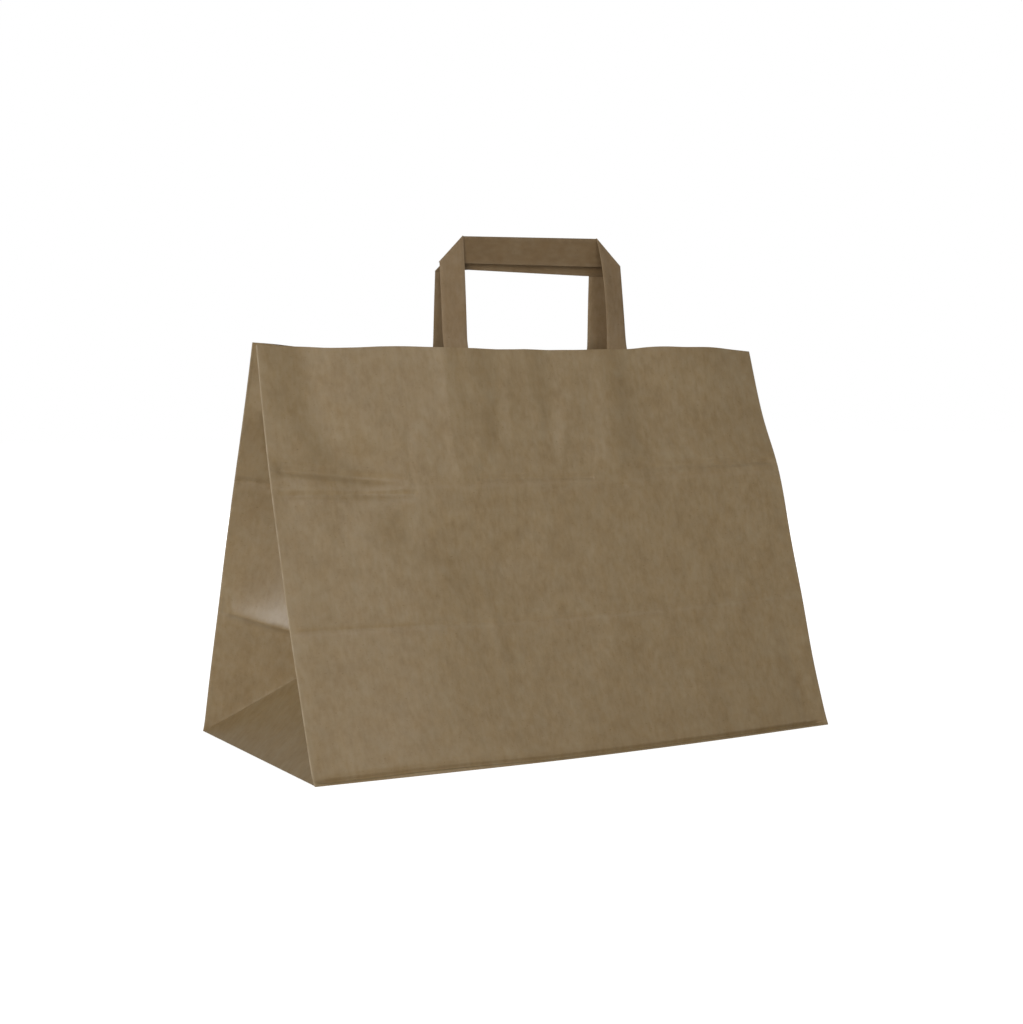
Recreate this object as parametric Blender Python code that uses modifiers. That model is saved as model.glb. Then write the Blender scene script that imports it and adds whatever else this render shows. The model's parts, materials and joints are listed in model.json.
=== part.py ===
"""Kraft paper carrier bag with flat paper handles, standing with its mouth pressed almost shut.

The bag body is one folded sheet: a tube with a gusset down each side, closed by a folded block
bottom and a pasted lengthwise seam. Each handle is one flat strip, turned down at both corners by
a diagonal fold, with its legs pasted inside the mouth under a reinforcing patch.

Metres, +Z up. The origin is on the floor under the middle of the bag, the front panel faces -Y.
"""

import math

import bmesh
import bpy
from mathutils import Vector

# The bag body
BAG_WIDTH = 0.350           # width of the front and back panels
BAG_DEPTH = 0.170           # width of each side gusset, and depth of the bottom
PANEL_HEIGHT = 0.250        # bottom fold to mouth, along the paper
MOUTH_GAP = 0.008           # front panel to back panel at the mouth, outside
PAPER = 0.00012             # thickness of the kraft paper
CREASE_BOW = 0.0010         # how far the panels stand proud at the crease across the bag
FOLD_NOSE = 0.0006          # width of the blunt nose where the paper turns back on itself
GUSSET_SAG = 0.012          # how far a gusset's centre fold dips below the mouth
GUSSET_STEPS = 5            # facets up each curved stretch of a gusset

# The folded bottom and the lengthwise seam
FLAP_LAP = 0.020            # overlap of the two long bottom flaps
FLAP_SETBACK = 0.0004       # a flap's folds lie this far inside the bottom's edges
SEAM_LAP = 0.015            # width of the pasted seam on the back panel
SEAM_FROM_EDGE = 0.012      # seam to the back panel's side edge
SEAM_SETBACK = 0.002        # the seam stops this far short of the bottom fold and the mouth

# The handles
STRIP_WIDTH = 0.0170        # width of the folded handle strip
STRIP_THICKNESS = 0.0006    # the strip is several plies of paper
GLUE_LINE = 0.0003          # gap between pieces that are pasted together
CORNER_STEPS = 6            # facets round a corner's diagonal fold
LEG_BEND_RADIUS = 0.006     # the legs bend over the mouth at this radius
LEG_BEND_STEPS = 4          # facets round that bend
LEG_PASTED = 0.043          # length of each leg below the mouth

FRONT_RISE = 0.0675         # top of the front handle above the mouth
FRONT_BAR = 0.1290          # outer width of the front handle at its top
FRONT_OFFSET = 0.0073       # middle of the front handle from the middle of the bag, towards +X
FRONT_SPLAY = (0.0, 4.0)    # degrees that its -X leg and its +X leg lean outwards
REAR_RISE = 0.0640
REAR_BAR = 0.1270
REAR_OFFSET = 0.0070
REAR_SPLAY = (2.5, -2.0)

# The patches over the handle legs
PATCH_WIDTH = 0.168
PATCH_HEIGHT = 0.047
PATCH_BELOW_MOUTH = 0.002   # a patch's top edge lies this far below the mouth
PATCH_SIDE_MARGIN = 0.0015  # room beside a leg before the patch comes down to the panel
PATCH_RAMP = 0.003          # width over which the patch comes down

# Looks
KRAFT = (0.320, 0.231, 0.132, 1.0)
KRAFT_STRIP = (0.262, 0.187, 0.113, 1.0)
PAPER_ROUGHNESS = 0.72

BOTTOM_SHEET_Z = 2 * PAPER  # the two folded flaps lie under the bottom's inner sheet
HALF_WIDTH = BAG_WIDTH / 2
HALF_DEPTH = BAG_DEPTH / 2
WELD = 1e-6                 # corners this close are one


def clear_scene():
    for old in list(bpy.data.objects):
        bpy.data.objects.remove(old, do_unlink=True)


def new_collection(name):
    made = bpy.data.collections.new(name)
    bpy.context.scene.collection.children.link(made)
    return made


def paper_material(name, colour):
    made = bpy.data.materials.new(name)
    made.use_nodes = True
    shader = made.node_tree.nodes["Principled BSDF"]
    shader.inputs["Base Color"].default_value = colour
    shader.inputs["Roughness"].default_value = PAPER_ROUGHNESS
    shader.inputs["Metallic"].default_value = 0.0
    made.diffuse_color = colour
    return made


def surface_through(rows):
    """A grid whose corners lie on these rows of points."""
    columns = len(rows[0]) - 1
    steps = len(rows) - 1
    shape = bmesh.new()
    bmesh.ops.create_grid(shape, x_segments=columns, y_segments=steps, size=1.0)
    for corner in shape.verts:
        column = round((corner.co.x + 1) / 2 * columns)
        row = round((corner.co.y + 1) / 2 * steps)
        corner.co = rows[row][column]
    return shape


def object_of(name, shape, collection):
    mesh = bpy.data.meshes.new(name)
    shape.to_mesh(mesh)
    shape.free()
    made = bpy.data.objects.new(name, mesh)
    collection.objects.link(made)
    return made


def thicken(target, thickness, offset):
    """Gives an open surface its wall: offset 1 lays it on the face's outer side, -1 on the inner."""
    solid = target.modifiers.new("thickness", "SOLIDIFY")
    solid.thickness = thickness
    solid.offset = offset
    solid.use_even_offset = True
    solid.use_rim = True


def mirror_across_x(target):
    mirror = target.modifiers.new("other half", "MIRROR")
    mirror.use_axis = (True, False, False)
    mirror.merge_threshold = WELD


def join(target, addition):
    addition.hide_render = True
    addition.display_type = "WIRE"
    union = target.modifiers.new("join " + addition.name, "BOOLEAN")
    union.operation = "UNION"
    union.solver = "EXACT"
    union.object = addition


# Side view of a panel: one stretch runs from the bottom fold to the crease across the bag, and one
# from there to the mouth. The crease lies as high up the paper as the bottom is deep.

CREASE_HEIGHT = BAG_DEPTH
STRAIGHT_SLOPE = (HALF_DEPTH - MOUTH_GAP / 2) / PANEL_HEIGHT
CREASE_HALF_DEPTH = HALF_DEPTH - STRAIGHT_SLOPE * CREASE_HEIGHT + CREASE_BOW
LOWER_LEAN = math.asin((HALF_DEPTH - CREASE_HALF_DEPTH) / CREASE_HEIGHT)
UPPER_LEAN = math.asin((CREASE_HALF_DEPTH - MOUTH_GAP / 2) / (PANEL_HEIGHT - CREASE_HEIGHT))


def panel_point(height):
    """(half depth, z) of a panel's outside at this height up the paper."""
    lower = min(height, CREASE_HEIGHT)
    upper = height - lower
    half_depth = HALF_DEPTH - lower * math.sin(LOWER_LEAN) - upper * math.sin(UPPER_LEAN)
    z = BOTTOM_SHEET_Z + lower * math.cos(LOWER_LEAN) + upper * math.cos(UPPER_LEAN)
    return half_depth, z


MOUTH_Z = panel_point(PANEL_HEIGHT)[1]


def gusset_apex_drop():
    """How far the apex of a gusset's diagonal folds lies below the panels' edges beside it."""
    half_depth, z = panel_point(HALF_DEPTH)
    rise = z - BOTTOM_SHEET_Z
    return rise - (half_depth**2 + rise**2) / (2 * rise)


def gusset_fold(height):
    """(inset, z) of a gusset's centre fold at this height up the paper, from the apex upwards."""
    half_depth, z = panel_point(height)
    share = (height - HALF_DEPTH) / (PANEL_HEIGHT - HALF_DEPTH)
    drop = gusset_apex_drop() + (GUSSET_SAG - gusset_apex_drop()) * share
    return math.sqrt(HALF_DEPTH**2 - half_depth**2 - drop**2), z - drop


def half_ring(height):
    """The +X half of the gusseted tube at this height, from the front panel's middle to the back's."""
    half_depth, z = panel_point(height)
    inset, fold_z = gusset_fold(height)
    return [
        (0.0, -half_depth, z),
        (HALF_WIDTH, -half_depth, z),
        (HALF_WIDTH, FOLD_NOSE - half_depth, z),
        (HALF_WIDTH - inset, -FOLD_NOSE / 2, fold_z),
        (HALF_WIDTH - inset, FOLD_NOSE / 2, fold_z),
        (HALF_WIDTH, half_depth - FOLD_NOSE, z),
        (HALF_WIDTH, half_depth, z),
        (0.0, half_depth, z),
    ]


def body_surface():
    """The +X half of the bag body's outside, open at the mouth and down the middle."""
    heights = [
        start + (end - start) * step / GUSSET_STEPS
        for start, end in ((HALF_DEPTH, CREASE_HEIGHT), (CREASE_HEIGHT, PANEL_HEIGHT))
        for step in range(GUSSET_STEPS)
    ]
    rings = [half_ring(height) for height in heights + [PANEL_HEIGHT]]
    shape = surface_through(rings)
    # Below the apex the gusset folds into flat triangles, which no grid fits.
    waist = [shape.verts.new(point) for point in rings[0]]
    foot = [
        shape.verts.new((x, y, BOTTOM_SHEET_Z))
        for x, y in (
            (0.0, -HALF_DEPTH),
            (HALF_WIDTH, -HALF_DEPTH),
            (HALF_WIDTH, FOLD_NOSE - HALF_DEPTH),
            (HALF_WIDTH, HALF_DEPTH - FOLD_NOSE),
            (HALF_WIDTH, HALF_DEPTH),
            (0.0, HALF_DEPTH),
        )
    ]
    front_panel = (foot[0], foot[1], waist[1], waist[0])
    front_nose = (foot[1], foot[2], waist[2], waist[1])
    front_triangle = (foot[2], waist[3], waist[2])
    low_triangle = (foot[2], foot[3], waist[4], waist[3])
    back_triangle = (foot[3], waist[5], waist[4])
    back_nose = (foot[3], foot[4], waist[6], waist[5])
    back_panel = (foot[4], foot[5], waist[7], waist[6])
    gusset = (front_nose, front_triangle, low_triangle, back_triangle, back_nose)
    for corners in (front_panel, *gusset, back_panel, reversed(foot)):
        shape.faces.new(corners)
    bmesh.ops.remove_doubles(shape, verts=shape.verts, dist=WELD)
    bmesh.ops.recalc_face_normals(shape, faces=shape.faces)
    return shape


def bottom_flap(name, side, low, collection):
    """A long flap of the bottom, folded in from the front (side -1) or the back (side 1)."""
    lap = FLAP_LAP / 2
    folded_end = HALF_WIDTH - 2 * FLAP_SETBACK
    free_end = HALF_WIDTH - HALF_DEPTH - lap
    rows = [
        [(x, side * (HALF_DEPTH - FLAP_SETBACK), low) for x in (-folded_end, folded_end)],
        [(x, -side * lap, low) for x in (-free_end, free_end)],
    ]
    flap = object_of(name, surface_through(sorted(rows, key=lambda row: row[0][1])), collection)
    thicken(flap, BOTTOM_SHEET_Z + PAPER / 2 - low, 1.0)
    return flap


def seam_strip(collection):
    """The pasted lengthwise seam: one more ply up the outside of the back panel, sunk half a ply."""
    near = HALF_WIDTH - SEAM_FROM_EDGE
    rows = []
    for height in (SEAM_SETBACK, CREASE_HEIGHT, PANEL_HEIGHT - SEAM_SETBACK):
        half_depth, z = panel_point(height)
        rows.append([(near, half_depth, z), (near - SEAM_LAP, half_depth, z)])
    strip = object_of("seam_strip", surface_through(rows), collection)
    sunk = PAPER / 2
    thicken(strip, PAPER + sunk, (PAPER - sunk) / (PAPER + sunk))
    return strip


def make_body(collection, helpers):
    body = object_of("bag_body", body_surface(), collection)
    mirror_across_x(body)
    thicken(body, PAPER, -1.0)
    join(body, bottom_flap("inner_flap", 1, PAPER, helpers))
    join(body, bottom_flap("outer_flap", -1, 0.0, helpers))
    join(body, seam_strip(helpers))
    body.data.materials.append(paper_material("bag_body_paper", KRAFT))


# A handle is worked out facing -Y, and turned round for the rear one. Its strip is a ladder of
# rungs, each a pair of points on the strip's two edges, in the middle of its thickness.

FOLD_RADIUS = (STRIP_THICKNESS + GLUE_LINE) / 2
LEG_LINE = PAPER + GLUE_LINE + STRIP_THICKNESS / 2  # panel's outside to the leg's middle
LEG_PLANE = LEG_LINE / math.cos(UPPER_LEAN) - MOUTH_GAP / 2  # the upright leg's y
BEND_TANGENT = LEG_BEND_RADIUS * math.tan(UPPER_LEAN / 2)


def over_the_mouth(point):
    """Bends a point of an upright leg over the mouth, so that it lies along the panel below."""
    below = MOUTH_Z + BEND_TANGENT - point.z
    if below <= 0:
        return point
    turned = min(below / LEG_BEND_RADIUS, UPPER_LEAN)
    along = below - turned * LEG_BEND_RADIUS
    y = point.y - LEG_BEND_RADIUS * (1 - math.cos(turned)) - along * math.sin(turned)
    z = MOUTH_Z + BEND_TANGENT - LEG_BEND_RADIUS * math.sin(turned) - along * math.cos(turned)
    return Vector((point.x, y, z))


def corner_rungs(bar_half, top, splay):
    """Rungs round the +X corner's diagonal fold, from the bar behind to the leg in front."""
    slant = math.radians(45 - splay / 2)
    along = Vector((math.cos(slant), 0, -math.sin(slant)))
    outwards = Vector((math.sin(slant), 0, math.cos(slant)))
    reach = FOLD_RADIUS + STRIP_THICKNESS / 2
    upper = Vector((bar_half - STRIP_WIDTH / math.tan(slant), 0, top)) - reach * outwards
    upper += along * (upper.z - top) / math.sin(slant)
    lower = upper + along * STRIP_WIDTH / math.sin(slant)
    rungs = []
    for step in range(CORNER_STEPS + 1):
        turn = math.pi * step / CORNER_STEPS
        shift = along * FOLD_RADIUS * turn / math.tan(slant)
        shift += outwards * FOLD_RADIUS * math.sin(turn)
        shift.y = LEG_PLANE + FOLD_RADIUS * (1 + math.cos(turn))
        rungs.append((upper + shift, lower + shift))
    return rungs


def leg_rungs(start, splay):
    """Rungs down a leg: level with the bend over the mouth, and at the leg's pasted end."""
    heading = Vector((math.sin(math.radians(splay)), 0, -math.cos(math.radians(splay))))
    bend_length = LEG_BEND_RADIUS * UPPER_LEAN
    bend_top = MOUTH_Z + BEND_TANGENT
    levels = [bend_top - bend_length * step / LEG_BEND_STEPS for step in range(LEG_BEND_STEPS + 1)]
    levels.append(MOUTH_Z - LEG_PASTED)
    rungs = []
    for level in levels:
        pair = [edge + heading * (level - edge.z) / heading.z for edge in start]
        rungs.append(tuple(over_the_mouth(point) for point in pair))
    return rungs


def side_of_handle(bar_half, top, splay):
    corner = corner_rungs(bar_half, top, splay)
    return corner + leg_rungs(corner[-1], splay)


def leg_span(bar_half, top, splay):
    """Lowest and highest x of the +X leg's pasted stretch, from the middle of the handle."""
    pasted = side_of_handle(bar_half, top, splay)[-2:]
    across = [point.x for rung in pasted for point in rung]
    return min(across), max(across)


def make_handle(side, facing, bar_half, top, offset, splays, collection):
    """facing is -1 for the front panel and 1 for the back one; offset and splays follow X."""
    low_x, high_x = (side_of_handle(bar_half, top, splay) for splay in splays)
    mirrored = [[Vector((-p.x, p.y, p.z)) for p in rung] for rung in reversed(low_x)]
    rungs = [
        [(point.x + offset, -facing * point.y, point.z) for point in rung]
        for rung in mirrored + high_x
    ]
    handle = object_of(side + "_handle", surface_through(rungs), collection)
    thicken(handle, STRIP_THICKNESS, 0.0)
    handle.data.materials.append(paper_material(side + "_handle_paper", KRAFT_STRIP))


def patch_profile(bar_half, top, splays):
    """(x, distance off the panel's inside) across a patch, raised where it covers the legs."""
    laid = GLUE_LINE + PAPER / 2
    raised = GLUE_LINE + STRIP_THICKNESS + laid
    low_leg, high_leg = (leg_span(bar_half, top, splay) for splay in splays)
    profile = [(-PATCH_WIDTH / 2, laid)]
    for inner, outer in ((-low_leg[1], -low_leg[0]), high_leg):
        start = inner - PATCH_SIDE_MARGIN
        end = outer + PATCH_SIDE_MARGIN
        profile += [(start - PATCH_RAMP, laid), (start, raised)]
        profile += [(end, raised), (end + PATCH_RAMP, laid)]
    profile.append((PATCH_WIDTH / 2, laid))
    return profile


def make_patch(side, facing, bar_half, top, offset, splays, collection):
    """The sheet pasted over a handle's legs, inside the panel that the handle is on."""
    rungs = []
    for x, off_panel in patch_profile(bar_half, top, splays):
        rung = []
        for below in (PATCH_BELOW_MOUTH, PATCH_BELOW_MOUTH + PATCH_HEIGHT):
            inwards = PAPER + off_panel
            depth = MOUTH_GAP / 2 + below * math.sin(UPPER_LEAN) - inwards * math.cos(UPPER_LEAN)
            z = MOUTH_Z - below * math.cos(UPPER_LEAN) - inwards * math.sin(UPPER_LEAN)
            rung.append((x + offset, facing * depth, z))
        rungs.append(rung)
    patch = object_of(side + "_patch", surface_through(rungs), collection)
    thicken(patch, PAPER, 0.0)
    patch.data.materials.append(paper_material(side + "_patch_paper", KRAFT))


def main():
    clear_scene()
    bag = new_collection("paper_carrier_bag")
    helpers = new_collection("helpers")
    make_body(bag, helpers)
    handles = (
        ("front", -1, FRONT_BAR / 2, MOUTH_Z + FRONT_RISE, FRONT_OFFSET, FRONT_SPLAY),
        ("rear", 1, REAR_BAR / 2, MOUTH_Z + REAR_RISE, REAR_OFFSET, REAR_SPLAY),
    )
    for handle in handles:
        make_handle(*handle, bag)
        make_patch(*handle, bag)


main()
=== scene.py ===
"""Looks of a kraft paper carrier bag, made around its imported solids.

The bag body is one flat sheet of paper that is folded into place: a tube with a gusset down each
side, a block bottom and a pasted lengthwise seam. Each handle is one strip with a diagonal fold at
both corners, and its legs are pasted inside the mouth under a patch.

Sizes of the pieces are in millimetres here, and their meshes are in metres, +Z up. The origin is on
the floor under the middle of the bag, and the front panel faces -Y. A place on the flat sheet is
(s, t): s runs round the tube and t up the paper from the bottom fold.
"""

import json
import logging
import math
from dataclasses import dataclass
from enum import Enum

import bmesh
import bpy
import numpy as np
from mathutils import Matrix, Quaternion, Vector, noise

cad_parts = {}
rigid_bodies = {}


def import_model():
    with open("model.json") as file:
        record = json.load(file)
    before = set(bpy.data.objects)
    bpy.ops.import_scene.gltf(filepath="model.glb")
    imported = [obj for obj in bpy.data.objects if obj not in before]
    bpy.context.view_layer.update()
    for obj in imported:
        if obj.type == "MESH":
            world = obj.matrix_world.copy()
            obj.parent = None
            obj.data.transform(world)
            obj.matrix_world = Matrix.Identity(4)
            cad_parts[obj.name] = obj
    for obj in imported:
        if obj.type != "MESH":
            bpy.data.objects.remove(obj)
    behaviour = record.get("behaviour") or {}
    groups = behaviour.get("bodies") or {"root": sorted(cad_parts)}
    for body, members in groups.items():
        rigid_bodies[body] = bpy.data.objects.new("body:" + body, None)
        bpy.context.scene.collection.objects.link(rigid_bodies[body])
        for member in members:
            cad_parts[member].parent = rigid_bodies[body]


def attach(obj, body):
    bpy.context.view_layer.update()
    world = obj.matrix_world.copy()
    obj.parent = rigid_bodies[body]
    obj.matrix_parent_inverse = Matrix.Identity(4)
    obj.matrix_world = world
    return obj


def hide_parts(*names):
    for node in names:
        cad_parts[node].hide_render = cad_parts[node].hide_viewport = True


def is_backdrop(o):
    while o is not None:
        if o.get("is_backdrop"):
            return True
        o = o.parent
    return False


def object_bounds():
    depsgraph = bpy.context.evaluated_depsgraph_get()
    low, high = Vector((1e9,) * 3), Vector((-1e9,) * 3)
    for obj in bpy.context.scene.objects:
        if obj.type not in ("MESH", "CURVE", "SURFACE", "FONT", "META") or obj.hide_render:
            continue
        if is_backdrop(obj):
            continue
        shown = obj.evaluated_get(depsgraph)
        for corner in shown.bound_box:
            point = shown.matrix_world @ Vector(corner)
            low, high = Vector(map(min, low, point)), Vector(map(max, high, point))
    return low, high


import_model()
CAD_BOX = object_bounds()

MM = 0.001
BODY = "root"
log = logging.getLogger("paper_bag")

# short names for long types; a rung joins the two edges of a handle's strip
Array = np.ndarray
Piece = bpy.types.Object
Material = bpy.types.Material
Tree = bpy.types.NodeTree
Socket = bpy.types.NodeSocket
Pair = tuple[float, float]
Triple = tuple[float, float, float]
Rung = tuple[Array, Array]


class Side(Enum):
    """Which broad side of the bag a piece is on: its value is the sign of Y there."""

    FRONT = -1
    BACK = 1


class End(Enum):
    """Which narrow side of the bag a gusset is on: its value is the sign of X there."""

    LOW = -1
    HIGH = 1


# --- Curves and relief ---


def smooth_step(share: Array) -> Array:
    """An even ramp from 0 to 1 with level ends."""
    held = np.clip(share, 0.0, 1.0)
    return held * held * (3.0 - 2.0 * held)


def ramp(value: Array, band: Pair) -> Array:
    """An even ramp from 0 to 1 over a band, given as its start and its length."""
    return smooth_step((value - band[0]) / band[1])


def ramp_down(value: Array, band: Pair) -> Array:
    """An even ramp from 1 to 0 that ends where the band starts, over the band's length."""
    return smooth_step((band[0] - value) / band[1])


@dataclass(frozen=True)
class Curve:
    """A smooth curve through stations, each (where, value)."""

    stations: tuple[Pair, ...]

    def at(self, where: Array | float) -> Array:
        """Values of the curve.

        Args:
            where: places along the curve; beyond its ends the end values hold.

        Returns:
            The values there.
        """
        places, values = np.array(self.stations, float).T
        slopes = np.gradient(values, places)
        held = np.clip(np.asarray(where, float), places[0], places[-1])
        low = np.clip(np.searchsorted(places, held) - 1, 0, len(places) - 2)
        span = places[low + 1] - places[low]
        q = (held - places[low]) / span
        start = (1 + 2 * q) * (1 - q) ** 2 * values[low] + q * (1 - q) ** 2 * span * slopes[low]
        end = q * q * (3 - 2 * q) * values[low + 1] + q * q * (q - 1) * span * slopes[low + 1]
        return start + end


@dataclass(frozen=True)
class Ridge:
    """A soft ridge along a line on a panel, or a dent where its height is below zero."""

    line: tuple[Pair, ...]
    height: float
    width: float
    crisp: bool = False
    tapered: bool = False

    def rise(self, x: Array, t: Array) -> Array:
        """Height of the ridge.

        Args:
            x: places across the panel.
            t: places up the paper.

        Returns:
            How far the paper stands proud there.
        """
        nearest, along = np.full(x.shape, 1e9), np.zeros(x.shape)
        for number, ((ax, at), (bx, bt)) in enumerate(zip(self.line, self.line[1:])):
            dx, dt = bx - ax, bt - at
            share = np.clip(((x - ax) * dx + (t - at) * dt) / (dx * dx + dt * dt), 0.0, 1.0)
            gap = np.hypot(x - ax - share * dx, t - at - share * dt)
            along = np.where(gap < nearest, number + share, along)
            nearest = np.minimum(nearest, gap)
        height = self.height * (1 - along / (len(self.line) - 1)) if self.tapered else self.height
        away = nearest / self.width
        return height * np.exp(-away if self.crisp else -(away**2))


@dataclass(frozen=True)
class Buckles:
    """The slight random unevenness of handled paper."""

    height: float
    length: float
    seed: float

    def rise(self, x: Array, t: Array) -> Array:
        """Height of the unevenness at places across the panel and up the paper."""
        made = [
            noise.fractal(
                Vector((across / self.length, up / (1.6 * self.length), self.seed)), 0.9, 2.1, 3
            )
            for across, up in zip(x.ravel(), t.ravel())
        ]
        return self.height * np.array(made).reshape(x.shape)


# --- Sizes of the bag ---


@dataclass(frozen=True)
class BagSizes:
    """The bag's own sizes."""

    width: float = 350.0
    depth: float = 170.0
    height: float = 250.0
    paper: float = 0.12
    nose: float = 0.30
    seam_start: float = 163.0
    seam_end: float = 148.0
    seam_lift: float = 0.16
    flap_lap: float = 20.0
    tuck: float = 88.0
    gusset_drop_low: float = 20.6
    gusset_drop_mouth: float = 10.0

    @property
    def half_width(self) -> float:
        """Half the width of the front panel."""
        return self.width / 2

    @property
    def half_depth(self) -> float:
        """Half the width of a gusset."""
        return self.depth / 2

    @property
    def nose_length(self) -> float:
        """Half the paper's length round the nose of a fold."""
        return self.nose * math.pi / 2


SIZES = BagSizes()


@dataclass
class Panel:
    """The front or the back of the bag as it stands: where each place on its paper lies.

    Attributes:
        side: front or back.
        low_edge: y of the edge at -X against the height up the paper.
        high_edge: the same at +X.
        mouth: y of the mouth along x.
        foot: how far the lowest paper flares out, along x.
        belly: how far the lower panel bulges out, along x.
        trim: how much lower the mouth is cut, along x.
        relief: ridges, dents and unevenness on it.
    """

    COLUMNS = 141
    ROWS = 501
    MOUTH_FROM = 150.0
    TRIM_FROM = 195.0
    FOOT_HEIGHT, FOOT_POWER = 8.0, 1.6
    BELLY_HEIGHT, BELLY_POWER = 110.0, 1.5
    EDGE_BAND = 9.0
    FOOT_BAND = 3.0
    STEEPEST = 0.97

    side: Side
    low_edge: Curve
    high_edge: Curve
    mouth: Curve
    foot: Curve
    belly: Curve
    trim: Curve
    relief: tuple[Ridge | Buckles, ...]

    def __post_init__(self) -> None:
        """Works out the standing panel."""
        half = SIZES.half_width
        self.x = np.linspace(-half, half, self.COLUMNS)
        self.t = np.linspace(0.0, SIZES.height, self.ROWS)
        share = (self.x[:, None] + half) / SIZES.width
        low, high = self.low_edge.at(self.t)[None, :], self.high_edge.at(self.t)[None, :]
        self.y = low * (1 - share) + high * share
        bow = self.mouth.at(self.x)[:, None] - self.y[:, -1:]
        up = np.clip((self.t - self.MOUTH_FROM) / (SIZES.height - self.MOUTH_FROM), 0, 1)
        self.y += bow * (up * up * (2 - up))[None, :]
        for shift, tall, power in (
            (self.foot, self.FOOT_HEIGHT, self.FOOT_POWER),
            (self.belly, self.BELLY_HEIGHT, self.BELLY_POWER),
        ):
            fade = np.clip(1 - self.t / tall, 0, 1) ** power
            self.y += self.side.value * shift.at(self.x)[:, None] * fade[None, :]
        slope = np.clip(np.gradient(self.y, self.t, axis=1), -self.STEEPEST, self.STEEPEST)
        climb = np.sqrt(1 - slope**2)
        step = self.t[1] - self.t[0]
        self.z = np.zeros_like(self.y)
        self.z[:, 1:] = np.cumsum((climb[:, 1:] + climb[:, :-1]) / 2 * step, axis=1)
        top = np.clip((self.t - self.TRIM_FROM) / (SIZES.height - self.TRIM_FROM), 0, 1) ** 2
        self.z -= self.trim.at(self.x)[:, None] * top[None, :]
        self.normal = self._normals()

    def _normals(self) -> Array:
        """The outward direction all over the panel."""
        y_x, y_t = np.gradient(self.y, self.x, self.t)
        z_x, z_t = np.gradient(self.z, self.x, self.t)
        across = np.stack([np.ones_like(y_x), y_x, z_x], -1)
        upwards = np.stack([np.zeros_like(y_t), y_t, z_t], -1)
        normal = np.cross(across, upwards) * -self.side.value
        return normal / np.linalg.norm(normal, axis=-1, keepdims=True)

    def _read(self, table: Array, x: Array, t: Array) -> Array:
        """Reads one of the panel's tables between its stations."""
        column = np.clip((x - self.x[0]) / (self.x[1] - self.x[0]), 0, self.COLUMNS - 1.001)
        row = np.clip((t - self.t[0]) / (self.t[1] - self.t[0]), 0, self.ROWS - 1.001)
        i, j = column.astype(int), row.astype(int)
        a, b = column - i, row - j
        if table.ndim == 3:
            a, b = a[..., None], b[..., None]
        low = table[i, j] * (1 - a) + table[i + 1, j] * a
        high = table[i, j + 1] * (1 - a) + table[i + 1, j + 1] * a
        return low * (1 - b) + high * b

    def edge(self, end: End, t: Array) -> tuple[Array, Array]:
        """y and z of the panel's side edge at heights up the paper."""
        x = np.full(np.shape(t), end.value * SIZES.half_width)
        return self._read(self.y, x, t), self._read(self.z, x, t)

    def uneven(self, x: Array, t: Array) -> Array:
        """How far the paper stands proud at places on the panel."""
        inside = np.clip((SIZES.half_width - np.abs(x)) / self.EDGE_BAND, 0, 1)
        total = sum(part.rise(x, t) for part in self.relief)
        return total * smooth_step(inside) * smooth_step(t / self.FOOT_BAND)

    def place(self, x: Array, t: Array, proud: Array | float = 0.0) -> Array:
        """Points of the standing panel.

        Args:
            x: places across the panel.
            t: places up the paper.
            proud: how far outside the paper's middle the points lie.

        Returns:
            One row of x, y, z for each place.
        """
        base = np.stack([x, self._read(self.y, x, t), self._read(self.z, x, t)], -1)
        out = self.uneven(x, t) + proud
        return base + self._read(self.normal, x, t) * out[..., None]


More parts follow.
